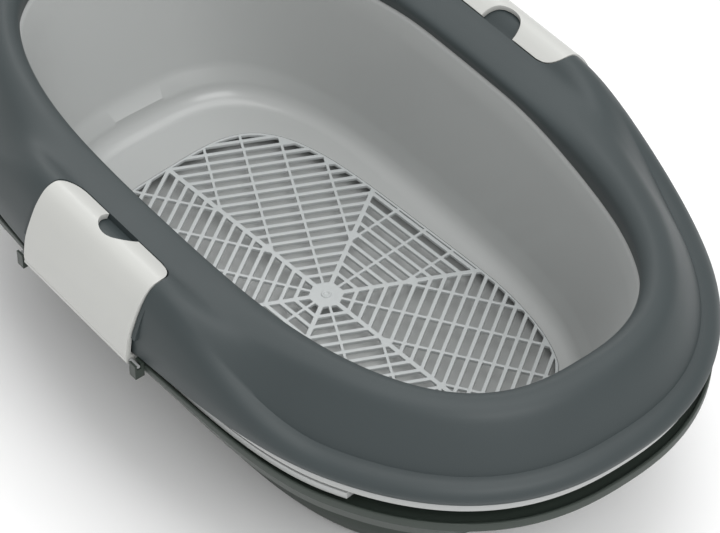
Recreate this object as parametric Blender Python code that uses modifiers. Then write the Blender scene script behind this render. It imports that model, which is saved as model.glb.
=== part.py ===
"""Sifting pet tray: a base tray, an inner tray and a sieve tray nested under a splash rim held by two clips.

X runs along the length, Y across, Z up. The origin is on the ground below the middle. Units are metres.
"""

import math

import bmesh
import bpy

# Outlines seen from above: half length, half width and exponent of |x/a|^n + |y/b|^n = 1
OUTER = (0.2905, 0.180, 2.35)
MOUTH = (0.242, 0.1185, 2.7)
FLOOR = (0.196, 0.108, 3.2)
SIEVE_OPENING = (0.159, 0.0895, 4.0)

WALL = 0.0022
NEST_STEP = 0.0040
SIEVE_FLOOR_Z = 0.033
TRAY_FLOORS_Z = (SIEVE_FLOOR_Z, 0.0225, WALL)
FILLET_RADIUS = 0.0155
SMALL_GAP = 0.0003

# Heights that differ between the ends and the long sides: (at the ends, at the sides)
MOUTH_LIP_Z = (0.1515, 0.1600)
RIM_SKIRT_Z = (0.1270, 0.1350)
SIEVE_LIP_Z = (0.1180, 0.1336)
INNER_FLANGE_Z = (0.1160, 0.1332)
INNER_LIP_DEPTH = 0.005
BASE_SHELF_Z = (0.1050, 0.1278)
BASE_LIP_Z = (0.1095, 0.1303)
BASE_STEP = 0.0012
BASE_GRIP_DEPTH = 0.0080
BASE_SKIRT_Z = (0.0925, 0.1165)
SIDE_REACH = 0.062
END_START = 0.195
GRIP_DEPTH = 0.012
GRIP_HALF_WIDTH = 0.135

RIM_SKIN = 0.0025
CLIP_HALF_LENGTH = 0.053
CLIP_THICKNESS = 0.0034
CLIP_GAP = 0.0008
HINGE_Y = 0.1808
HINGE_Z = 0.1305
PIN_RADIUS = 0.0012
PIN_HALF_LENGTH = 0.0610
KNUCKLE = (0.0033, 2 * CLIP_HALF_LENGTH)
LUG_WIDTH = 0.006
NOTCH_HALF_LENGTH = 0.0560
FINGER_RADIUS = 0.0150
RECESS_GAP = 0.0008
RECESS_WALL = 0.0041
PAD_DEPTH = 0.0062
PAD_SET_BACK = (0.0016, 0.0009)

WEB_CENTRE_X = 0.0085
WEB_TURN = math.radians(4)
WEB_THICKNESS = 0.0024
RING_PITCH = 0.00845
FIRST_RING = 0.0181
NODE_SPACING = 0.0520
HUB_RADIUS = 0.0106
SLAT_WIDTH = 0.0030
RIB_WIDTH = 0.0020
SPOKE_WIDTH = 0.0032
SMALLEST_HOLE = 16e-6
THINNEST_HOLE = 0.0012

STATIONS = 48


def clear_scene():
    for obj in list(bpy.data.objects):
        bpy.data.objects.remove(obj, do_unlink=True)


def make_collection(name, hidden=False):
    made = bpy.data.collections.new(name)
    made.hide_render = hidden
    bpy.context.scene.collection.children.link(made)
    return made


def make_material(name, colour, roughness):
    made = bpy.data.materials.new(name)
    made.use_nodes = True
    shader = made.node_tree.nodes["Principled BSDF"]
    shader.inputs["Base Color"].default_value = (*colour, 1)
    shader.inputs["Roughness"].default_value = roughness
    shader.inputs["Metallic"].default_value = 0
    return made


def smoothstep(value, start, end):
    share = min(max((value - start) / (end - start), 0), 1)
    return share * share * (3 - 2 * share)


def outline_radius(outline, angle):
    """Distance from the middle to a superellipse in the direction of angle."""
    a, b, n = outline
    return (abs(math.cos(angle) / a) ** n + abs(math.sin(angle) / b) ** n) ** (-1 / n)


def grown(outline, amount):
    a, b, n = outline
    return (a + amount, b + amount, n)


def station_angles(count):
    """Directions spread evenly along an ellipse, so that the long sides get their share."""
    shape = 0.62
    turns = [math.tau * i / count for i in range(count)]
    return [math.atan2(shape * math.sin(t), math.cos(t)) for t in turns]


def place(mesh_builder, name, material, collection):
    mesh = bpy.data.meshes.new(name)
    mesh_builder.to_mesh(mesh)
    mesh_builder.free()
    mesh.materials.append(material)
    obj = bpy.data.objects.new(name, mesh)
    collection.objects.link(obj)
    return obj


def shade_round(obj):
    obj.data.shade_smooth()
    obj.data.set_sharp_from_angle(angle=math.radians(35))


def solidify(obj, thickness, offset=-1):
    skin = obj.modifiers.new("skin", "SOLIDIFY")
    skin.thickness = thickness
    skin.offset = offset
    skin.use_even_offset = True


def ring_loft(profile_at, closed_section=False, closed_floor=False):
    """Carries a profile of (radius, height), which changes with the direction, once round the middle.

    The faces look up and towards the middle. closed_section joins the profile's two ends, and closed_floor
    joins its first point to the middle, and its last one too where the section is closed.
    """
    bm = bmesh.new()
    rings = []
    for angle in station_angles(STATIONS):
        points = profile_at(angle)
        rings.append([bm.verts.new((r * math.cos(angle), r * math.sin(angle), z)) for r, z in points])
    count = len(rings[0])
    for ring, following in zip(rings, rings[1:] + rings[:1]):
        for i, j in zip(range(count - 1), range(1, count)):
            bm.faces.new((ring[i], ring[j], following[j], following[i]))
        if closed_section and not closed_floor:
            bm.faces.new((ring[-1], ring[0], following[0], following[-1]))
    if closed_floor:
        top_centre = bm.verts.new((0, 0, rings[0][0].co.z))
        for ring, following in zip(rings, rings[1:] + rings[:1]):
            bm.faces.new((top_centre, ring[0], following[0]))
    if closed_floor and closed_section:
        bottom_centre = bm.verts.new((0, 0, rings[0][-1].co.z))
        for ring, following in zip(rings, rings[1:] + rings[:1]):
            bm.faces.new((bottom_centre, following[-1], ring[-1]))
    return bm


def end_share(angle):
    """0 along the sides, where the clips sit, and 1 round the ends."""
    x = abs(outline_radius(OUTER, angle) * math.cos(angle))
    return smoothstep(x, SIDE_REACH, END_START)


def height(pair, angle):
    at_end, at_side = pair
    return at_side + end_share(angle) * (at_end - at_side)


# Rim sections from the mouth to the skirt: share of the way from mouth to outside, and height
RIM_END_SECTION = (
    (0.040, 0.1515), (0.015, 0.1580), (0.000, 0.1650), (0.030, 0.1700), (0.110, 0.1735), (0.240, 0.1750),
    (0.420, 0.1720), (0.560, 0.1630), (0.680, 0.1520), (0.791, 0.1400), (0.880, 0.1394), (0.970, 0.1370),
    (1.030, 0.1320), (1.000, 0.1270),
)
RIM_SIDE_SECTION = (
    (0.030, 0.1600), (0.012, 0.1640), (0.000, 0.1675), (0.025, 0.1708), (0.105, 0.1727), (0.250, 0.1745),
    (0.430, 0.1765), (0.545, 0.1805), (0.640, 0.1820), (0.750, 0.1800), (0.850, 0.1730), (0.920, 0.1640),
    (0.985, 0.1500), (1.000, 0.1350),
)
CLIP_FIRST_POINT = 6
CLIP_STAND_OFF = (0.0, 0.0, 0.0, 0.0, 0.0003, 0.0010, 0.0026, 0.0040)


def rim_path(angle):
    inside = outline_radius(MOUTH, angle)
    outside = outline_radius(OUTER, angle)
    share = end_share(angle)
    path = []
    for (f_end, z_end), (f_side, z_side) in zip(RIM_END_SECTION, RIM_SIDE_SECTION):
        f = f_side + share * (f_end - f_side)
        path.append((inside + f * (outside - inside), z_side + share * (z_end - z_side)))
    return path


def basin_wall(angle, level, top_z):
    """The inner face of a tray wall, from its floor to top_z. Level 0 is the sieve tray, 2 the base tray."""
    floor_z = TRAY_FLOORS_Z[level]
    floor = outline_radius(grown(FLOOR, level * NEST_STEP), angle)
    lip = outline_radius(grown(MOUTH, 0.0005 + level * NEST_STEP), angle)
    slope = (lip - floor) / (height(MOUTH_LIP_Z, angle) - SIEVE_FLOOR_Z)
    points = []
    for turn in (0.0, 40.0, 75.0):
        lean = math.radians(turn)
        inset = FILLET_RADIUS * (1 - math.sin(lean))
        points.append((floor - inset, floor_z + FILLET_RADIUS * (1 - math.cos(lean))))
    points.append((floor + 0.024 * slope, floor_z + 0.024))
    points.append((floor + (top_z - floor_z) * slope, top_z))
    return points


def opening_radius(angle, margin=0.0):
    """Distance from the tray's middle to the sieve's opening, which is centred and turned with the web."""
    a, b, n = grown(SIEVE_OPENING, -margin)
    c, s = math.cos(WEB_TURN), math.sin(WEB_TURN)
    inside, outside = 0.0, FLOOR[0]
    for _ in range(40):
        middle = (inside + outside) / 2
        x = middle * math.cos(angle) - WEB_CENTRE_X
        y = middle * math.sin(angle)
        if abs((x * c + y * s) / a) ** n + abs((y * c - x * s) / b) ** n < 1:
            inside = middle
        else:
            outside = middle
    flat_floor = outline_radius(FLOOR, angle) - FILLET_RADIUS - 2 * SMALL_GAP
    return min(inside, flat_floor - margin)


def opening_points(margin=0.0):
    radii = [(angle, opening_radius(angle, margin)) for angle in station_angles(STATIONS)]
    return [(r * math.cos(angle), r * math.sin(angle)) for angle, r in radii]


def sieve_basin_path(angle):
    outside = outline_radius(OUTER, angle)
    lip_z = height(MOUTH_LIP_Z, angle)
    skirt_z = height(RIM_SKIRT_Z, angle)
    wall = basin_wall(angle, 0, lip_z - 0.0035)
    top_r = wall[-1][0]
    path = [(opening_radius(angle) + SMALL_GAP, SIEVE_FLOOR_Z)] + wall
    path += [(top_r + 0.0035, lip_z - 0.0007), (top_r + 0.0075, lip_z - 0.0012)]
    path += [(outside - 0.0150, skirt_z + 0.0040), (outside - 0.0037, skirt_z + 0.0006)]
    return path + [(outside - 0.0037, height(SIEVE_LIP_Z, angle))]


def make_sieve_basin(material, collection):
    basin = place(ring_loft(sieve_basin_path), "sieve_basin", material, collection)
    shade_round(basin)
    solidify(basin, WALL)


def grip_share(angle):
    """1 inside the grip at either end and 0 outside it."""
    x = outline_radius(OUTER, angle) * math.cos(angle)
    y = abs(outline_radius(OUTER, angle) * math.sin(angle))
    return (1 - smoothstep(y, GRIP_HALF_WIDTH, GRIP_HALF_WIDTH + 0.012)) * (abs(x) > SIDE_REACH)


def inner_tray_path(angle):
    flange_z = height(INNER_FLANGE_Z, angle)
    outside = outline_radius(OUTER, angle) - 0.0038 - GRIP_DEPTH * grip_share(angle)
    wall = basin_wall(angle, 1, flange_z - 0.004)
    flange = [(wall[-1][0] + 0.0035, flange_z), (outside, flange_z), (outside, flange_z - INNER_LIP_DEPTH)]
    return wall + flange


def make_inner_tray(material, collection):
    tray = place(ring_loft(inner_tray_path, closed_floor=True), "inner_tray", material, collection)
    shade_round(tray)
    solidify(tray, WALL)


def base_step(angle):
    """How far the skirt stands back under the base tray's lip, which is most at the grip in either end."""
    y = abs(outline_radius(OUTER, angle) * math.sin(angle))
    return BASE_STEP + BASE_GRIP_DEPTH * (1 - smoothstep(y, 0.070, 0.120)) * end_share(angle)


def base_tray_section(angle):
    """The base tray's wall and shelf, with a lip standing up and a skirt hanging down at the outer edge."""
    outside = outline_radius(OUTER, angle) - 0.0006
    shelf_z = height(BASE_SHELF_Z, angle)
    lip_z = height(BASE_LIP_Z, angle)
    skirt_z = height(BASE_SKIRT_Z, angle)
    stepped = outside - base_step(angle)
    under_z = shelf_z - WALL
    wall = basin_wall(angle, 2, shelf_z - 0.004)
    top_r = wall[-1][0]
    path = wall + [(top_r + 0.0040, shelf_z), (outside - 0.0026, shelf_z), (outside - 0.0021, lip_z)]
    path += [(outside, lip_z - 0.0006), (outside - 0.0002, under_z), (stepped, under_z - 0.0003)]
    path += [(stepped - 0.0040, skirt_z), (stepped - 0.0062, skirt_z)]
    path += [(stepped - 0.0043, under_z - 0.0012), (top_r + 0.0058, under_z)]
    outer_wall = [(r + WALL, z) for r, z in wall[:2:-1]]
    outer_wall.append((wall[2][0] + 0.8 * WALL, wall[2][1] - 0.5 * WALL))
    outer_wall.append((wall[1][0] + 0.4 * WALL, wall[1][1] - 0.9 * WALL))
    return path + outer_wall + [(wall[0][0], wall[0][1] - WALL)]


def make_base_tray(material, collection, cutters):
    loft = ring_loft(base_tray_section, closed_section=True, closed_floor=True)
    base = place(loft, "base_tray", material, collection)
    shade_round(base)
    cut_clip_seats(base, cutters)


def clipped(polygon, normal, limit):
    """The part of a convex polygon where the point times normal stays under limit."""
    kept = []
    for (x0, y0), (x1, y1) in zip(polygon, polygon[1:] + polygon[:1]):
        d0 = x0 * normal[0] + y0 * normal[1] - limit
        d1 = x1 * normal[0] + y1 * normal[1] - limit
        if d0 <= 0:
            kept.append((x0, y0))
        if d0 * d1 < 0:
            share = d0 / (d0 - d1)
            kept.append((x0 + share * (x1 - x0), y0 + share * (y1 - y0)))
    return kept


def wide_enough(polygon):
    """Whether a hole is big enough to mould: its area, and its area over its longest side."""
    pairs = list(zip(polygon, polygon[1:] + polygon[:1]))
    area = 0.5 * abs(sum(x0 * y1 - x1 * y0 for (x0, y0), (x1, y1) in pairs))
    return area > SMALLEST_HOLE and area / max(math.dist(p, q) for p, q in pairs) > THINNEST_HOLE


def merged_corners(polygon, least=0.0006):
    return [p for i, p in enumerate(polygon) if math.dist(p, polygon[i - 1]) > least]


def sector_cells():
    """Gaps of one 60-degree sector: the sector's middle line runs along +X from the hub."""
    tangent = math.tan(math.radians(30))
    edge = SPOKE_WIDTH / 2 / math.cos(math.radians(30))
    lines = [HUB_RADIUS] + [FIRST_RING + RING_PITCH * k for k in range(24)]
    rib = NODE_SPACING / 2
    for number, (start, end) in enumerate(zip(lines, lines[1:])):
        low = start + (0 if number == 0 else SLAT_WIDTH / 2)
        high = end - SLAT_WIDTH / 2
        for j in range(-7, 7):
            left = j * rib + RIB_WIDTH / 2
            right = (j + 1) * rib - RIB_WIDTH / 2
            cell = [(low, left), (high, left), (high, right), (low, right)]
            cell = clipped(cell, (-tangent, 1), -edge)
            cell = clipped(cell, (-tangent, -1), -edge)
            if len(cell) > 2:
                yield cell


def web_holes():
    border = opening_points(0.0015)
    for sector in range(6):
        turn = WEB_TURN + math.radians(30 + 60 * sector)
        c, s = math.cos(turn), math.sin(turn)
        for cell in sector_cells():
            hole = [(WEB_CENTRE_X + x * c - y * s, x * s + y * c) for x, y in cell]
            for (x0, y0), (x1, y1) in zip(border, border[1:] + border[:1]):
                normal = (y1 - y0, x0 - x1)
                hole = clipped(hole, normal, x0 * normal[0] + y0 * normal[1])
            hole = merged_corners(hole)
            if len(hole) > 2 and wide_enough(hole):
                yield hole


def make_grid(material, collection):
    """The perforated floor: a flat outline whose holes are inner splines."""
    flat = bpy.data.curves.new("sieve_grid", "CURVE")
    flat.dimensions = "2D"
    flat.fill_mode = "BOTH"
    flat.extrude = WEB_THICKNESS / 2
    for loop in [opening_points()] + list(web_holes()):
        spline = flat.splines.new("POLY")
        spline.points.add(len(loop) - 1)
        spline.use_cyclic_u = True
        for point, (x, y) in zip(spline.points, loop):
            point.co = (x, y, 0, 1)
    flat.materials.append(material)
    obj = bpy.data.objects.new("sieve_grid", flat)
    obj.location.z = SIEVE_FLOOR_Z - WEB_THICKNESS / 2
    collection.objects.link(obj)
    return obj


def clip_face():
    """(y, z) of a clip's outside face: flush with the rim's shoulder, and standing off it lower down."""
    width = OUTER[1] - MOUTH[1]
    shoulder = RIM_SIDE_SECTION[CLIP_FIRST_POINT:]
    return [(MOUTH[1] + f * width + off, z) for (f, z), off in zip(shoulder, CLIP_STAND_OFF)]


def strip(name, side, face, half_length, thickness, offset, collection):
    """A plate of the given thickness that follows (y, z) points in face, from end to end along X."""
    bm = bmesh.new()
    edge = [bm.verts.new((-side * half_length, side * y, z)) for y, z in face]
    lines = [bm.edges.new(pair) for pair in zip(edge, edge[1:])]
    made = bmesh.ops.extrude_edge_only(bm, edges=lines)["geom"]
    moved = [item for item in made if isinstance(item, bmesh.types.BMVert)]
    bmesh.ops.translate(bm, vec=(2 * side * half_length, 0, 0), verts=moved)
    plate = place(bm, name, None, collection)
    solidify(plate, thickness, offset)
    return plate


def cut_clip_recess(rim, side, name, cutters):
    """Thickens the rim below its shoulder and sinks the seat of a clip into it."""
    upper = clip_face()[:-1]
    inner = (upper[0][0] - RECESS_WALL, upper[0][1] - 0.0004)
    pad = strip(name + "_pad", side, [inner] + upper, CLIP_HALF_LENGTH + RECESS_WALL, PAD_DEPTH, -1, cutters)
    pad.location = (0, -side * PAD_SET_BACK[0], -PAD_SET_BACK[1])
    cut(rim, as_cutter(pad), "UNION")
    edge = (upper[0][0] - RECESS_GAP, upper[0][1])
    low = (clip_face()[-1][0], RIM_SKIRT_Z[1] - 0.004)
    depth = CLIP_THICKNESS + CLIP_GAP
    face = [edge] + upper[1:] + [low]
    seat = strip(name + "_seat", side, face, CLIP_HALF_LENGTH + RECESS_GAP, 2 * depth, 0, cutters)
    cut(rim, as_cutter(seat))


def make_rim(material, collection, cutters):
    rim = place(ring_loft(rim_path), "rim", material, collection)
    shade_round(rim)
    solidify(rim, RIM_SKIN)
    for side, word in ((1, "right"), (-1, "left")):
        cut_clip_recess(rim, side, "recess_" + word, cutters)


def make_clip(name, side, material, collection, cutters):
    """A curved plate with a finger notch, over the rim's shoulder, which turns about its pin."""
    face = clip_face() + [(HINGE_Y + 0.0022, HINGE_Z)]
    local_face = [(y - HINGE_Y, z - HINGE_Z) for y, z in face]
    clip = strip(name, side, local_face, CLIP_HALF_LENGTH, CLIP_THICKNESS, -1, collection)
    clip.data.materials[0] = material
    clip.location = (0, side * HINGE_Y, HINGE_Z)
    shade_round(clip)
    knuckle = make_cutter(name + "_knuckle", "cylinder", (0, side * HINGE_Y, HINGE_Z), KNUCKLE, 90, cutters)
    cut(clip, knuckle, "UNION")
    notch_at = (0, side * face[0][0], 0.180)
    cut(clip, make_cutter(name + "_notch", "cylinder", notch_at, (FINGER_RADIUS, 0.04), 0, cutters))
    bore = (PIN_RADIUS + SMALL_GAP, 0.2)
    cut(clip, make_cutter(name + "_bore", "cylinder", (0, side * HINGE_Y, HINGE_Z), bore, 90, cutters))


def as_cutter(obj):
    obj.hide_render = True
    obj.display_type = "WIRE"
    return obj


def make_cutter(name, shape, centre, size, turn, collection):
    """A hidden cylinder of (radius, length) turned about Y, or a box of three sides."""
    bm = bmesh.new()
    if shape == "cylinder":
        radius, length = size
        bmesh.ops.create_cone(bm, cap_ends=True, segments=20, radius1=radius, radius2=radius, depth=length)
    else:
        bmesh.ops.create_cube(bm, size=1)
        bmesh.ops.scale(bm, vec=size, verts=bm.verts)
    mesh = bpy.data.meshes.new(name)
    bm.to_mesh(mesh)
    bm.free()
    cutter = bpy.data.objects.new(name, mesh)
    cutter.location = centre
    cutter.rotation_euler.y = math.radians(turn)
    collection.objects.link(cutter)
    return as_cutter(cutter)


def cut(obj, cutter, operation="DIFFERENCE"):
    change = obj.modifiers.new(cutter.name, "BOOLEAN")
    change.object = cutter
    change.operation = operation
    change.solver = "EXACT"


def make_pin(name, side, material, collection):
    bm = bmesh.new()
    bmesh.ops.create_cone(
        bm, cap_ends=True, segments=16, radius1=PIN_RADIUS, radius2=PIN_RADIUS, depth=2 * PIN_HALF_LENGTH
    )
    pin = place(bm, name, material, collection)
    pin.location = (0, side * HINGE_Y, HINGE_Z)
    pin.rotation_euler.y = math.radians(90)
    shade_round(pin)
    return pin


def cut_clip_seats(base, cutters):
    """A notch in the base edge for each clip, with a lug and an open slot for each end of its pin."""
    edge_y = OUTER[1]
    for side, word in ((1, "right"), (-1, "left")):
        notch = (2 * NOTCH_HALF_LENGTH, 0.020, 0.060)
        where = (0, side * (edge_y + 0.006), HINGE_Z)
        cut(base, make_cutter("notch_" + word, "box", where, notch, 0, cutters))
        for end in (-1, 1):
            name = "%s_%s" % (word, "front" if end > 0 else "back")
            x = end * (NOTCH_HALF_LENGTH + LUG_WIDTH / 2 - 0.0004)
            lug = (LUG_WIDTH, 0.0066, 0.0110)
            centre = (x, side * (HINGE_Y - 0.0003), HINGE_Z - 0.0032)
            cut(base, make_cutter("lug_" + name, "box", centre, lug, 0, cutters), "UNION")
            slot = (LUG_WIDTH + 0.004, 2 * PIN_RADIUS + 0.0008, 0.020)
            centre = (x, side * HINGE_Y, HINGE_Z - PIN_RADIUS - 0.0004 + slot[2] / 2)
            cut(base, make_cutter("slot_" + name, "box", centre, slot, 0, cutters))


def main():
    clear_scene()
    parts = make_collection("sifting_pet_tray")
    cutters = make_collection("cutters", hidden=True)
    dark = make_material("dark_shell", (0.063, 0.076, 0.080), 0.45)
    dark_base = make_material("dark_base", (0.055, 0.068, 0.062), 0.50)
    pale = make_material("pale_tray", (0.45, 0.47, 0.47), 0.35)
    pale_grid = make_material("pale_grid", (0.52, 0.54, 0.54), 0.40)
    clip_white = make_material("clip_white", (0.70, 0.70, 0.66), 0.40)
    pin_grey = make_material("pin_grey", (0.30, 0.31, 0.31), 0.40)
    make_base_tray(dark_base, parts, cutters)
    make_inner_tray(pale, parts)
    make_sieve_basin(pale, parts)
    make_grid(pale_grid, parts)
    make_rim(dark, parts, cutters)
    for side, word in ((1, "right"), (-1, "left")):
        make_clip("clip_" + word, side, clip_white, parts, cutters)
        make_pin("clip_pin_" + word, side, pin_grey, parts)


main()
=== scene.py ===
import math

import bmesh
import bpy
from mathutils import Matrix, Vector


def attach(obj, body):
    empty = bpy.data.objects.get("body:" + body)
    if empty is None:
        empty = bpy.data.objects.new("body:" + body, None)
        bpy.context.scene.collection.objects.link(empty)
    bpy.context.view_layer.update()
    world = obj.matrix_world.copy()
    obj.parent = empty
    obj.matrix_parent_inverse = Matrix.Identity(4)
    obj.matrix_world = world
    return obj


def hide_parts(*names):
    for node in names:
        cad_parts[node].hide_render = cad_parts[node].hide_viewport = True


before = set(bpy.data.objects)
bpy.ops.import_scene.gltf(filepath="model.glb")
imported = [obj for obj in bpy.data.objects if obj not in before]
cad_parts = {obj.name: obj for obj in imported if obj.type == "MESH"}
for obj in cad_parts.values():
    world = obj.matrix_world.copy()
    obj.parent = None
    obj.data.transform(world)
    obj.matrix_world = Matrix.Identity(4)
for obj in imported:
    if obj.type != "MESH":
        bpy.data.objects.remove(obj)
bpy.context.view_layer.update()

# Outlines seen from above: half length, half width and exponent of |x/a|^n + |y/b|^n = 1
OUTER = (0.2905, 0.180, 2.35)
MOUTH = (0.242, 0.1185, 2.7)
FLOOR = (0.196, 0.108, 3.2)
SIEVE_OPENING = (0.159, 0.0895, 4.0)

WALL = 0.0022
NEST_STEP = 0.0040
SIEVE_FLOOR_Z = 0.033
TRAY_FLOORS_Z = (SIEVE_FLOOR_Z, 0.0225, WALL)
FILLET_RADIUS = 0.0155

# Heights that differ between the ends and the long sides: (at the ends, at the sides)
MOUTH_LIP_Z = (0.1515, 0.1600)
RIM_SKIRT_Z = (0.1270, 0.1350)
SIEVE_LIP_Z = (0.1180, 0.1336)
INNER_FLANGE_Z = (0.1160, 0.1332)
INNER_LIP_DEPTH = 0.005
BASE_SHELF_Z = (0.1050, 0.1278)
BASE_LIP_Z = (0.1095, 0.1303)
BASE_STEP = 0.0012
BASE_GRIP_DEPTH = 0.0080
BASE_SKIRT_Z = (0.0925, 0.1165)
SIDE_REACH = 0.062
END_START = 0.195
GRIP_DEPTH = 0.012
GRIP_HALF_WIDTH = 0.135

RIM_SKIN = 0.0025
CLIP_HALF_LENGTH = 0.053
CLIP_THICKNESS = 0.0034
CLIP_GAP = 0.0008
CLIP_CORNER = 0.015
HINGE_Y = 0.1808
HINGE_Z = 0.1305
KNUCKLE_RADIUS = 0.0033
BORE_RADIUS = 0.0015
FINGER_RADIUS = 0.0150
RECESS_GAP = 0.0008
PAN_MARGIN = 0.0041
PAN_SET_BACK = (0.0016, 0.0009)
PAN_DEPTH = 0.0062
NOTCH_SIZE = (0.112, 0.020, 0.060)
LUG_X = 0.0586
LUG_SIZE = (0.006, 0.0066, 0.0110)
SLOT_SIZE = (0.010, 0.0032, 0.020)

WEB_CENTRE_X = 0.0085
WEB_TURN = math.radians(4)
WEB_THICKNESS = 0.0024
RING_PITCH = 0.00845
FIRST_RING = 0.0181
NODE_SPACING = 0.0520
HUB_RADIUS = 0.0106
SLAT_WIDTH = 0.0026
RIB_WIDTH = 0.0019
SPOKE_WIDTH = 0.0032
SMALLEST_HOLE = 10e-6
THINNEST_HOLE = 0.0009

STATIONS = 288

# The camera looks down the tray's length from beyond one corner
CAMERA_PLACE = (1.109, -0.855, 1.480)
CAMERA_VIEW = (-0.546, 0.438, -0.714)
CAMERA_UP = (-0.560, 0.444, 0.700)
CAMERA_LENS = 155.8


# ---------------------------------------------------------------- shape helpers


def smoothstep(value, start, end):
    share = min(max((value - start) / (end - start), 0), 1)
    return share * share * (3 - 2 * share)


def outline_radius(outline, angle):
    """Distance from the middle to a superellipse in the direction of angle."""
    a, b, n = outline
    return (abs(math.cos(angle) / a) ** n + abs(math.sin(angle) / b) ** n) ** (-1 / n)


def grown(outline, amount):
    a, b, n = outline
    return (a + amount, b + amount, n)


def station_angles(count):
    shape = 0.62
    turns = [math.tau * i / count for i in range(count)]
    return [math.atan2(shape * math.sin(t), math.cos(t)) for t in turns]


def rounded(points, steps):
    """A smooth curve through the points (Catmull-Rom), with steps pieces between each two."""
    ends = [points[0]] + list(points) + [points[-1]]
    curve = []
    for corners in zip(ends, ends[1:], ends[2:], ends[3:]):
        for step in range(steps):
            curve.append(tuple(between(axis, step / steps) for axis in zip(*corners)))
    return curve + [tuple(points[-1])]


def between(values, t):
    """The Catmull-Rom value at share t of the way from the second value to the third."""
    a, b, c, d = values
    square = 2 * a - 5 * b + 4 * c - d
    cube = 3 * b - a - 3 * c + d
    return 0.5 * (2 * b + (c - a) * t + square * t * t + cube * t ** 3)


def end_share(angle):
    """0 along the sides, where the clips sit, and 1 round the ends."""
    x = abs(outline_radius(OUTER, angle) * math.cos(angle))
    return smoothstep(x, SIDE_REACH, END_START)


def height(pair, angle):
    at_end, at_side = pair
    return at_side + end_share(angle) * (at_end - at_side)


def place(mesh_builder, name):
    mesh = bpy.data.meshes.new(name)
    mesh_builder.to_mesh(mesh)
    mesh_builder.free()
    obj = bpy.data.objects.new(name, mesh)
    bpy.context.scene.collection.objects.link(obj)
    return obj


def shade_round(obj, degrees=40):
    obj.data.shade_smooth()
    obj.data.set_sharp_from_angle(angle=math.radians(degrees))


def ring_loft(profile_at, closed_section=False, closed_floor=False):
    """Carries a profile of (radius, height), which changes with the direction, once round the middle."""
    bm = bmesh.new()
    rings = []
    for angle in station_angles(STATIONS):
        points = profile_at(angle)
        rings.append([bm.verts.new((r * math.cos(angle), r * math.sin(angle), z)) for r, z in points])
    count = len(rings[0])
    for ring, following in zip(rings, rings[1:] + rings[:1]):
        for i, j in zip(range(count - 1), range(1, count)):
            bm.faces.new((ring[i], ring[j], following[j], following[i]))
    if closed_floor:
        centre = bm.verts.new((0, 0, rings[0][0].co.z))
        for ring, following in zip(rings, rings[1:] + rings[:1]):
            bm.faces.new((centre, ring[0], following[0]))
    if closed_floor and closed_section:
        centre = bm.verts.new((0, 0, rings[0][-1].co.z))
        for ring, following in zip(rings, rings[1:] + rings[:1]):
            bm.faces.new((centre, following[-1], ring[-1]))
    return bm


def solidify(obj, thickness, offset=-1):
    skin = obj.modifiers.new("skin", "SOLIDIFY")
    skin.thickness = thickness
    skin.offset = offset
    skin.use_even_offset = True


def bevel(obj, width, segments=2, degrees=40):
    soft = obj.modifiers.new("soft_edges", "BEVEL")
    soft.width = width
    soft.segments = segments
    soft.limit_method = "ANGLE"
    soft.angle_limit = math.radians(degrees)
    soft.harden_normals = True


def cut(obj, cutter, operation="DIFFERENCE"):
    change = obj.modifiers.new(cutter.name, "BOOLEAN")
    change.object = cutter
    change.operation = operation
    change.solver = "EXACT"


def apply_all(obj, *helpers):
    """Turns the object's modifiers into its mesh and removes the cutters that they used."""
    graph = bpy.context.evaluated_depsgraph_get()
    mesh = bpy.data.meshes.new_from_object(obj.evaluated_get(graph))
    obj.modifiers.clear()
    obj.data = mesh
    for helper in helpers:
        bpy.data.objects.remove(helper, do_unlink=True)


def finish_piece(obj, material, body, node):
    obj.data.materials.clear()
    obj.data.materials.append(material)
    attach(obj, body)
    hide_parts(node)


# ---------------------------------------------------------------- materials


def plastic(name, colour, roughness, grain=0.0, mottling=0.04, gloss=0.5, wear=0.04):
    """Moulded plastic: faint shade changes from the flow of the melt, and a fine spark-eroded grain."""
    made = bpy.data.materials.new(name)
    made.use_nodes = True
    nodes = made.node_tree.nodes
    links = made.node_tree.links
    shader = nodes["Principled BSDF"]
    shader.inputs["Specular IOR Level"].default_value = gloss
    place_on = nodes.new("ShaderNodeTexCoord")

    flow = nodes.new("ShaderNodeTexNoise")
    flow.inputs["Scale"].default_value = 9.0
    flow.inputs["Detail"].default_value = 3.0
    links.new(place_on.outputs["Object"], flow.inputs["Vector"])
    shades = nodes.new("ShaderNodeValToRGB")
    shades.color_ramp.elements[0].position = 0.3
    shades.color_ramp.elements[1].position = 0.7
    shades.color_ramp.elements[0].color = (*[c * (1 - mottling) for c in colour], 1)
    shades.color_ramp.elements[1].color = (*[c * (1 + mottling) for c in colour], 1)
    links.new(flow.outputs["Fac"], shades.inputs["Fac"])
    links.new(shades.outputs["Color"], shader.inputs["Base Color"])

    scuffs = nodes.new("ShaderNodeTexNoise")
    scuffs.inputs["Scale"].default_value = 28.0
    scuffs.inputs["Detail"].default_value = 3.0
    links.new(place_on.outputs["Object"], scuffs.inputs["Vector"])
    spread = nodes.new("ShaderNodeMapRange")
    spread.inputs["To Min"].default_value = roughness - wear
    spread.inputs["To Max"].default_value = roughness + wear
    links.new(scuffs.outputs["Fac"], spread.inputs["Value"])
    links.new(spread.outputs["Result"], shader.inputs["Roughness"])

    fine = nodes.new("ShaderNodeTexNoise")
    fine.inputs["Scale"].default_value = 1200.0
    fine.inputs["Detail"].default_value = 2.0
    links.new(place_on.outputs["Object"], fine.inputs["Vector"])
    bump = nodes.new("ShaderNodeBump")
    bump.inputs["Strength"].default_value = grain
    bump.inputs["Distance"].default_value = 0.0002
    links.new(fine.outputs["Fac"], bump.inputs["Height"])
    links.new(bump.outputs["Normal"], shader.inputs["Normal"])
    return made


# ---------------------------------------------------------------- rim


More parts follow.
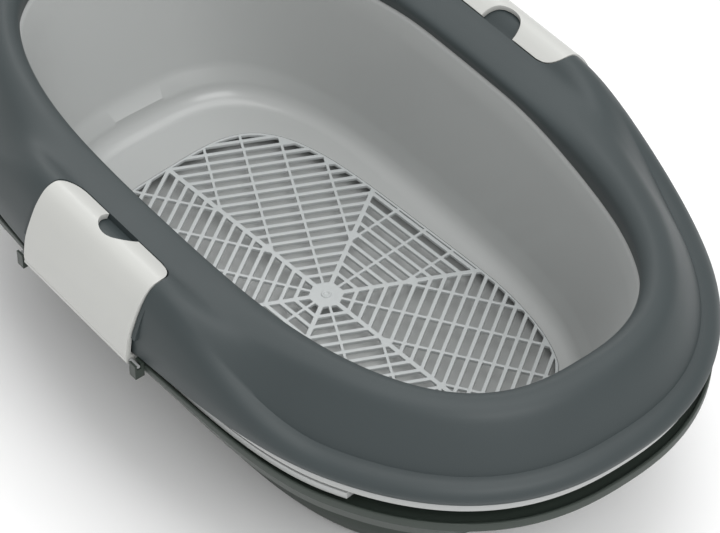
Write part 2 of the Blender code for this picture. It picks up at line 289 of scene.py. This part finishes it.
# Rim sections from the mouth to the skirt: share of the way from mouth to outside, and height
RIM_END_SECTION = (
    (0.040, 0.1515), (0.015, 0.1580), (0.000, 0.1650), (0.030, 0.1700), (0.110, 0.1735), (0.240, 0.1750),
    (0.420, 0.1720), (0.560, 0.1630), (0.680, 0.1520), (0.791, 0.1400), (0.880, 0.1394), (0.970, 0.1370),
    (1.030, 0.1320), (1.000, 0.1270),
)
RIM_SIDE_SECTION = (
    (0.030, 0.1600), (0.012, 0.1640), (0.000, 0.1675), (0.025, 0.1708), (0.105, 0.1727), (0.250, 0.1745),
    (0.430, 0.1765), (0.545, 0.1805), (0.640, 0.1820), (0.750, 0.1800), (0.850, 0.1730), (0.920, 0.1640),
    (0.985, 0.1500), (1.000, 0.1350),
)
CREASE_POINT = 9
CLIP_FIRST_POINT = 6
CLIP_STAND_OFF = (0.0, 0.0, 0.0, 0.0, 0.0003, 0.0010, 0.0026, 0.0040)


def rim_path(angle):
    inside = outline_radius(MOUTH, angle)
    outside = outline_radius(OUTER, angle)
    share = end_share(angle)
    path = []
    for (f_end, z_end), (f_side, z_side) in zip(RIM_END_SECTION, RIM_SIDE_SECTION):
        f = f_side + share * (f_end - f_side)
        path.append((inside + f * (outside - inside), z_side + share * (z_end - z_side)))
    creased = rounded(path[:CREASE_POINT + 1], 4)[:-1] + rounded(path[CREASE_POINT:], 4)
    sharp = min(3 * share, 1)
    return [
        (r + sharp * (creased_r - r), z + sharp * (creased_z - z))
        for (r, z), (creased_r, creased_z) in zip(rounded(path, 4), creased)
    ]


def clip_face():
    """(y, z) of a clip's outside face: flush with the rim's shoulder, and standing off it lower down."""
    width = OUTER[1] - MOUTH[1]
    shoulder = RIM_SIDE_SECTION[CLIP_FIRST_POINT:]
    return [(MOUTH[1] + f * width + off, z) for (f, z), off in zip(shoulder, CLIP_STAND_OFF)]


def lengths_along(face):
    total = [0.0]
    for p, q in zip(face, face[1:]):
        total.append(total[-1] + math.dist(p, q))
    return total


def bent_sheet(name, side, face, half_length, corner, columns=72):
    """A sheet that follows (y, z) points in face, whose two upper corners are rounded in its own surface."""
    bm = bmesh.new()
    runs = lengths_along(face)
    rows = []
    for (y, z), run in zip(face, runs):
        reach = half_length
        if run < corner:
            reach = half_length - corner + math.sqrt(max(corner ** 2 - (corner - run) ** 2, 0))
        xs = [reach * (2 * i / columns - 1) * side for i in range(columns + 1)]
        rows.append([bm.verts.new((x, side * y, z)) for x in xs])
    for row, lower in zip(rows, rows[1:]):
        for i in range(columns):
            bm.faces.new((row[i], row[i + 1], lower[i + 1], lower[i]))
    return place(bm, name)


def clip_recess_cutter(side, name):
    face = rounded(clip_face(), 5)
    first = (face[0][0] - RECESS_GAP, face[0][1])
    last = (clip_face()[-1][0], RIM_SKIRT_Z[1] - 0.004)
    seat = bent_sheet(name, side, [first] + face[1:] + [last], CLIP_HALF_LENGTH + RECESS_GAP, CLIP_CORNER)
    solidify(seat, 2 * (CLIP_THICKNESS + CLIP_GAP), 0)
    return seat


def recess_pan(side, name):
    """The sunk seat below a clip, which closes the rim's skin behind the recess."""
    face = rounded(clip_face()[:-1], 5)
    first = (face[0][0] - PAN_MARGIN, face[0][1] - 0.0004)
    pan = bent_sheet(name, side, [first] + face, CLIP_HALF_LENGTH + PAN_MARGIN, CLIP_CORNER)
    pan.location = (0, -side * PAN_SET_BACK[0], -PAN_SET_BACK[1])
    solidify(pan, PAN_DEPTH)
    return pan


def make_rim(material):
    rim = place(ring_loft(rim_path), "splash_rim")
    shade_round(rim)
    solidify(rim, RIM_SKIN)
    helpers = []
    for side, word in ((1, "right"), (-1, "left")):
        helpers += [recess_pan(side, "pan_" + word), clip_recess_cutter(side, "recess_" + word)]
        cut(rim, helpers[-2], "UNION")
        cut(rim, helpers[-1])
    apply_all(rim, *helpers)
    shade_round(rim, 35)
    finish_piece(rim, material, "rim", "rim")


# ---------------------------------------------------------------- trays


def basin_wall(angle, level, top_z):
    """The inner face of a tray wall, from its floor to top_z. Level 0 is the sieve tray, 2 the base tray."""
    floor_z = TRAY_FLOORS_Z[level]
    floor = outline_radius(grown(FLOOR, level * NEST_STEP), angle)
    lip = outline_radius(grown(MOUTH, 0.0005 + level * NEST_STEP), angle)
    slope = (lip - floor) / (height(MOUTH_LIP_Z, angle) - SIEVE_FLOOR_Z)
    points = []
    for turn in range(0, 85, 12):
        lean = math.radians(turn)
        inset = FILLET_RADIUS * (1 - math.sin(lean))
        points.append((floor - inset, floor_z + FILLET_RADIUS * (1 - math.cos(lean))))
    for rise in (0.020, 0.026, 0.034, 0.050):
        points.append((floor + rise * slope, floor_z + rise))
    for share in (0.25, 0.5, 0.75, 1.0):
        z = floor_z + 0.050 + share * (top_z - floor_z - 0.050)
        points.append((floor + (z - floor_z) * slope, z))
    return points


def opening_radius(angle, margin=0.0):
    """Distance from the tray's middle to the sieve's opening, which is centred and turned with the web."""
    a, b, n = grown(SIEVE_OPENING, -margin)
    c, s = math.cos(WEB_TURN), math.sin(WEB_TURN)
    inside, outside = 0.0, FLOOR[0]
    for _ in range(40):
        middle = (inside + outside) / 2
        x = middle * math.cos(angle) - WEB_CENTRE_X
        y = middle * math.sin(angle)
        if abs((x * c + y * s) / a) ** n + abs((y * c - x * s) / b) ** n < 1:
            inside = middle
        else:
            outside = middle
    flat_floor = outline_radius(FLOOR, angle) - FILLET_RADIUS - 0.0006
    return min(inside, flat_floor - margin)


def sieve_basin_path(angle):
    outside = outline_radius(OUTER, angle)
    lip_z = height(MOUTH_LIP_Z, angle)
    skirt_z = height(RIM_SKIRT_Z, angle)
    wall = basin_wall(angle, 0, lip_z - 0.0035)
    top_r = wall[-1][0]
    path = [(opening_radius(angle) + 0.0002, SIEVE_FLOOR_Z)] + wall
    path += [(top_r + 0.0012, lip_z - 0.0016), (top_r + 0.0035, lip_z - 0.0007)]
    path.append((top_r + 0.0075, lip_z - 0.0012))
    path += [(outside - 0.0150, skirt_z + 0.0040), (outside - 0.0037, skirt_z + 0.0006)]
    return path + [(outside - 0.0037, height(SIEVE_LIP_Z, angle))]


def grip_share(angle):
    """1 inside the grip at either end and 0 outside it."""
    x = outline_radius(OUTER, angle) * math.cos(angle)
    y = abs(outline_radius(OUTER, angle) * math.sin(angle))
    return (1 - smoothstep(y, GRIP_HALF_WIDTH, GRIP_HALF_WIDTH + 0.004)) * (abs(x) > SIDE_REACH)


def inner_tray_path(angle):
    flange_z = height(INNER_FLANGE_Z, angle)
    outside = outline_radius(OUTER, angle) - 0.0038 - GRIP_DEPTH * grip_share(angle)
    wall = basin_wall(angle, 1, flange_z - 0.004)
    flange = [(wall[-1][0] + 0.0035, flange_z), (outside, flange_z), (outside, flange_z - INNER_LIP_DEPTH)]
    return wall + flange


def base_step(angle):
    """How far the skirt stands back under the base tray's lip, which is most at the grip in either end."""
    y = abs(outline_radius(OUTER, angle) * math.sin(angle))
    return BASE_STEP + BASE_GRIP_DEPTH * (1 - smoothstep(y, 0.070, 0.120)) * end_share(angle)


def base_tray_section(angle):
    """The base tray's wall and shelf, with a lip standing up and a skirt hanging down at the outer edge."""
    outside = outline_radius(OUTER, angle) - 0.0006
    shelf_z = height(BASE_SHELF_Z, angle)
    lip_z = height(BASE_LIP_Z, angle)
    skirt_z = height(BASE_SKIRT_Z, angle)
    wall = basin_wall(angle, 2, shelf_z - 0.004)
    top_r = wall[-1][0]
    stepped = outside - base_step(angle)
    under_z = shelf_z - WALL
    path = wall + [(top_r + 0.0040, shelf_z), (outside - 0.0026, shelf_z), (outside - 0.0021, lip_z - 0.0003)]
    path += [(outside - 0.0017, lip_z), (outside - 0.0008, lip_z), (outside - 0.0002, lip_z - 0.0004)]
    path += [(outside, lip_z - 0.0012), (outside - 0.0002, under_z + 0.0006), (outside - 0.0008, under_z)]
    path += [(stepped, under_z - 0.0003), (stepped - 0.0036, skirt_z + 0.0006), (stepped - 0.0042, skirt_z)]
    path += [(stepped - 0.0062, skirt_z), (stepped - 0.0043, under_z - 0.0012), (top_r + 0.0058, under_z)]
    outer_wall = [(r + WALL * min((z - wall[0][1]) / FILLET_RADIUS, 1), z - WALL) for r, z in wall[::-1]]
    return path + outer_wall


def make_sieve_basin(material):
    basin = place(ring_loft(sieve_basin_path), "sieve_basin_shell")
    shade_round(basin)
    solidify(basin, WALL)
    bevel(basin, 0.0004)
    apply_all(basin)
    finish_piece(basin, material, "sieve", "sieve_basin")


def make_inner_tray(material):
    tray = place(ring_loft(inner_tray_path, closed_floor=True), "inner_tray_shell")
    shade_round(tray)
    solidify(tray, WALL)
    bevel(tray, 0.0004)
    apply_all(tray)
    finish_piece(tray, material, "inner", "inner_tray")


def box_cutter(name, centre, size):
    bm = bmesh.new()
    bmesh.ops.create_cube(bm, size=1)
    bmesh.ops.scale(bm, vec=size, verts=bm.verts)
    box = place(bm, name)
    box.location = centre
    return box


def make_base_tray(material):
    base = place(ring_loft(base_tray_section, closed_section=True, closed_floor=True), "base_tray_shell")
    shade_round(base)
    helpers = []
    for side, word in ((1, "right"), (-1, "left")):
        notch = box_cutter("notch_" + word, (0, side * (OUTER[1] + 0.006), HINGE_Z), NOTCH_SIZE)
        cut(base, notch)
        helpers.append(notch)
        for end in (-1, 1):
            x = end * LUG_X
            lug_at = (x, side * (HINGE_Y - 0.0003), HINGE_Z - 0.0032)
            lug = box_cutter("lug", lug_at, LUG_SIZE)
            cut(base, lug, "UNION")
            slot = box_cutter("slot", (x, side * HINGE_Y, HINGE_Z + 0.0084), SLOT_SIZE)
            cut(base, slot)
            helpers += [lug, slot]
    apply_all(base, *helpers)
    shade_round(base, 35)
    finish_piece(base, material, "base", "base_tray")


# ---------------------------------------------------------------- sieve web


def clipped(polygon, normal, limit):
    """The part of a convex polygon where the point times normal stays under limit."""
    kept = []
    for (x0, y0), (x1, y1) in zip(polygon, polygon[1:] + polygon[:1]):
        d0 = x0 * normal[0] + y0 * normal[1] - limit
        d1 = x1 * normal[0] + y1 * normal[1] - limit
        if d0 <= 0:
            kept.append((x0, y0))
        if d0 * d1 < 0:
            share = d0 / (d0 - d1)
            kept.append((x0 + share * (x1 - x0), y0 + share * (y1 - y0)))
    return kept


def wide_enough(polygon):
    pairs = list(zip(polygon, polygon[1:] + polygon[:1]))
    area = 0.5 * abs(sum(x0 * y1 - x1 * y0 for (x0, y0), (x1, y1) in pairs))
    return area > SMALLEST_HOLE and area / max(math.dist(p, q) for p, q in pairs) > THINNEST_HOLE


def merged_corners(polygon, least=0.0005):
    return [p for i, p in enumerate(polygon) if math.dist(p, polygon[i - 1]) > least]


def softened(polygon, radius=0.0004):
    """The polygon with each corner cut back a little, as a mould's cutter leaves it."""
    points = []
    for i, (x, y) in enumerate(polygon):
        for nx, ny in (polygon[i - 1], polygon[(i + 1) % len(polygon)]):
            length = math.dist((x, y), (nx, ny))
            share = min(radius / length, 0.3)
            points.append((x + share * (nx - x), y + share * (ny - y)))
    return points


def sector_cells():
    """Gaps of one 60-degree sector: the sector's middle line runs along +X from the hub."""
    tangent = math.tan(math.radians(30))
    edge = SPOKE_WIDTH / 2 / math.cos(math.radians(30))
    lines = [HUB_RADIUS] + [FIRST_RING + RING_PITCH * k for k in range(24)]
    rib = NODE_SPACING / 2
    for number, (start, end) in enumerate(zip(lines, lines[1:])):
        low = start + (0 if number == 0 else SLAT_WIDTH / 2)
        high = end - SLAT_WIDTH / 2
        for j in range(-7, 7):
            left = j * rib + RIB_WIDTH / 2
            right = (j + 1) * rib - RIB_WIDTH / 2
            cell = [(low, left), (high, left), (high, right), (low, right)]
            cell = clipped(cell, (-tangent, 1), -edge)
            cell = clipped(cell, (-tangent, -1), -edge)
            for k in range(1, 4):
                cell = beside_gusset(cell, k * NODE_SPACING)
            if len(cell) > 2:
                yield cell


def beside_gusset(cell, node):
    """Cuts a cell's corner back where a spoke's node is filled out to a small rosette."""
    reach = 0.0030
    for turn in (30, -30):
        centre = (node * math.cos(math.radians(turn)), node * math.sin(math.radians(turn)))
        if not cell:
            return cell
        middle = (sum(p[0] for p in cell) / len(cell), sum(p[1] for p in cell) / len(cell))
        away = (middle[0] - centre[0], middle[1] - centre[1])
        size = math.hypot(*away)
        if size < 3 * reach:
            normal = (-away[0] / size, -away[1] / size)
            cell = clipped(cell, normal, centre[0] * normal[0] + centre[1] * normal[1] - reach)
    return cell


def opening_points(count, margin=0.0):
    radii = [(angle, opening_radius(angle, margin)) for angle in station_angles(count)]
    return [(r * math.cos(angle), r * math.sin(angle)) for angle, r in radii]


def web_holes():
    border = opening_points(96, 0.0015)
    for sector in range(6):
        turn = WEB_TURN + math.radians(30 + 60 * sector)
        c, s = math.cos(turn), math.sin(turn)
        for cell in sector_cells():
            hole = [(WEB_CENTRE_X + x * c - y * s, x * s + y * c) for x, y in cell]
            for (x0, y0), (x1, y1) in zip(border, border[1:] + border[:1]):
                normal = (y1 - y0, x0 - x1)
                hole = clipped(hole, normal, x0 * normal[0] + y0 * normal[1])
            hole = merged_corners(hole)
            if len(hole) > 2 and wide_enough(hole):
                yield softened(hole)


def make_web(material):
    """The perforated floor with rounded slats, and a gate mark pressed into its hub."""
    edge = 0.00035
    flat = bpy.data.curves.new("sieve_web", "CURVE")
    flat.dimensions = "2D"
    flat.fill_mode = "BOTH"
    flat.extrude = WEB_THICKNESS / 2 - edge
    flat.bevel_depth = edge
    flat.bevel_resolution = 1
    flat.offset = -edge
    for loop in [opening_points(288)] + list(web_holes()):
        spline = flat.splines.new("POLY")
        spline.points.add(len(loop) - 1)
        spline.use_cyclic_u = True
        for point, (x, y) in zip(spline.points, loop):
            point.co = (x, y, 0, 1)
    drawn = bpy.data.objects.new("web_outline", flat)
    bpy.context.scene.collection.objects.link(drawn)
    graph = bpy.context.evaluated_depsgraph_get()
    mesh = bpy.data.meshes.new_from_object(drawn.evaluated_get(graph))
    bpy.data.objects.remove(drawn, do_unlink=True)
    web = bpy.data.objects.new("sieve_web", mesh)
    bpy.context.scene.collection.objects.link(web)
    web.location.z = SIEVE_FLOOR_Z - WEB_THICKNESS / 2
    shade_round(web, 30)
    finish_piece(web, material, "sieve", "sieve_grid")

    bm = bmesh.new()
    ridge = [(0.0002, 0.0001), (0.0014, 0.0001), (0.0020, 0.0007), (0.0030, 0.0009), (0.0036, 0.0001)]
    profile = rounded(ridge, 4)
    rings = [
        [bm.verts.new((r * math.cos(t), r * math.sin(t), z)) for r, z in profile]
        for t in (math.tau * i / 32 for i in range(32))
    ]
    for ring, following in zip(rings, rings[1:] + rings[:1]):
        for i in range(len(profile) - 1):
            bm.faces.new((ring[i], ring[i + 1], following[i + 1], following[i]))
    bm.faces.new([ring[0] for ring in rings])
    gate = place(bm, "hub_gate_mark")
    gate.location = (WEB_CENTRE_X, 0, SIEVE_FLOOR_Z - 0.0002)
    gate.data.shade_smooth()
    gate.data.materials.append(material)
    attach(gate, "sieve")


# ---------------------------------------------------------------- clips


def rod(name, radius, length, sides, centre, lying=False):
    """A cutter or a filler that stands up, or lies along X."""
    bm = bmesh.new()
    size = {"radius1": radius, "radius2": radius, "depth": length}
    bmesh.ops.create_cone(bm, cap_ends=True, segments=sides, **size)
    obj = place(bm, name)
    if lying:
        obj.rotation_euler.y = math.radians(90)
    obj.location = centre
    return obj


def make_clip(side, word, material):
    face = rounded(clip_face() + [(HINGE_Y + 0.0022, HINGE_Z)], 6)
    clip = bent_sheet("clip_cover_" + word, side, face, CLIP_HALF_LENGTH, CLIP_CORNER)
    solidify(clip, CLIP_THICKNESS)
    on_hinge = (0, side * HINGE_Y, HINGE_Z)
    knuckle = rod("knuckle", KNUCKLE_RADIUS, 2 * CLIP_HALF_LENGTH, 40, on_hinge, lying=True)
    cut(clip, knuckle, "UNION")
    finger = rod("finger", FINGER_RADIUS, 0.05, 64, (0, side * face[0][0], 0.180))
    cut(clip, finger)
    bore = rod("bore", BORE_RADIUS, 0.2, 24, on_hinge, lying=True)
    cut(clip, bore)
    bevel(clip, 0.0006, 3, 50)
    apply_all(clip, knuckle, finger, bore)
    shade_round(clip, 35)
    finish_piece(clip, material, "clip_" + word, "clip_" + word)


# ---------------------------------------------------------------- stage


def make_floor():
    bm = bmesh.new()
    bmesh.ops.create_grid(bm, x_segments=8, y_segments=8, size=6)
    floor = place(bm, "floor")
    floor.location.z = -0.0005
    white = bpy.data.materials.new("floor")
    white.use_nodes = True
    white.node_tree.nodes["Principled BSDF"].inputs["Base Color"].default_value = (0.9, 0.9, 0.9, 1)
    white.node_tree.nodes["Principled BSDF"].inputs["Roughness"].default_value = 0.9
    floor.data.materials.append(white)


def area_light(name, place_at, size, power):
    lamp = bpy.data.lights.new(name, "AREA")
    lamp.shape = "RECTANGLE"
    lamp.size, lamp.size_y = size
    lamp.energy = power
    obj = bpy.data.objects.new(name, lamp)
    obj.location = place_at
    obj.rotation_euler = (-Vector(place_at)).to_track_quat("-Z", "Y").to_euler()
    bpy.context.scene.collection.objects.link(obj)


def make_light():
    """A white surround, large soft lights over the near end and the middle, and a weak one beyond."""
    world = bpy.data.worlds.new("studio")
    world.use_nodes = True
    world.node_tree.nodes["Background"].inputs["Color"].default_value = (1, 1, 1, 1)
    world.node_tree.nodes["Background"].inputs["Strength"].default_value = 0.70
    bpy.context.scene.world = world
    bpy.context.scene.view_settings.view_transform = "Standard"
    area_light("near", (1.9, -0.5, 2.1), (1.8, 1.4), 34)
    area_light("overhead", (0.0, 0.3, 2.4), (1.8, 1.8), 26)
    area_light("far", (-1.6, 1.0, 1.3), (0.9, 0.7), 7)


def make_camera():
    lens = bpy.data.cameras.new("camera")
    lens.lens = CAMERA_LENS
    lens.sensor_width = 36
    lens.sensor_fit = "HORIZONTAL"
    camera = bpy.data.objects.new("camera", lens)
    view = Vector(CAMERA_VIEW).normalized()
    right = view.cross(Vector(CAMERA_UP)).normalized()
    up = right.cross(view)
    turn = Matrix((right, up, -view)).transposed()
    camera.matrix_world = Matrix.Translation(CAMERA_PLACE) @ turn.to_4x4()
    bpy.context.scene.collection.objects.link(camera)
    bpy.context.scene.camera = camera


# ---------------------------------------------------------------- build


dark = plastic("dark_shell", (0.034, 0.044, 0.046), 0.50, grain=0.2, gloss=0.4)
dark_base = plastic("dark_base", (0.028, 0.038, 0.031), 0.46, grain=0.2, gloss=0.4)
pale = plastic("pale_tray", (0.375, 0.385, 0.380), 0.24, grain=0.02, mottling=0.012, wear=0.015)
# The grid belongs to the same sieve moulding as the pale basin. Its lighter grey is painted light: the extra
# brightness of the upward-facing floor is set into its colour.
pale_grid = plastic("pale_grid", (0.43, 0.45, 0.45), 0.34, grain=0.03, mottling=0.02)
clip_white = plastic("clip_white", (0.47, 0.475, 0.455), 0.38, grain=0.12, mottling=0.02)
pin_grey = plastic("pin_grey", (0.30, 0.31, 0.31), 0.40, grain=0.1)

make_rim(dark)
make_sieve_basin(pale)
make_inner_tray(pale)
make_base_tray(dark_base)
for side, word in ((1, "right"), (-1, "left")):
    make_clip(side, word, clip_white)
    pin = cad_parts["clip_pin_" + word]
    pin.data.materials.clear()
    pin.data.materials.append(pin_grey)
make_web(pale_grid)
make_floor()
make_light()
make_camera()
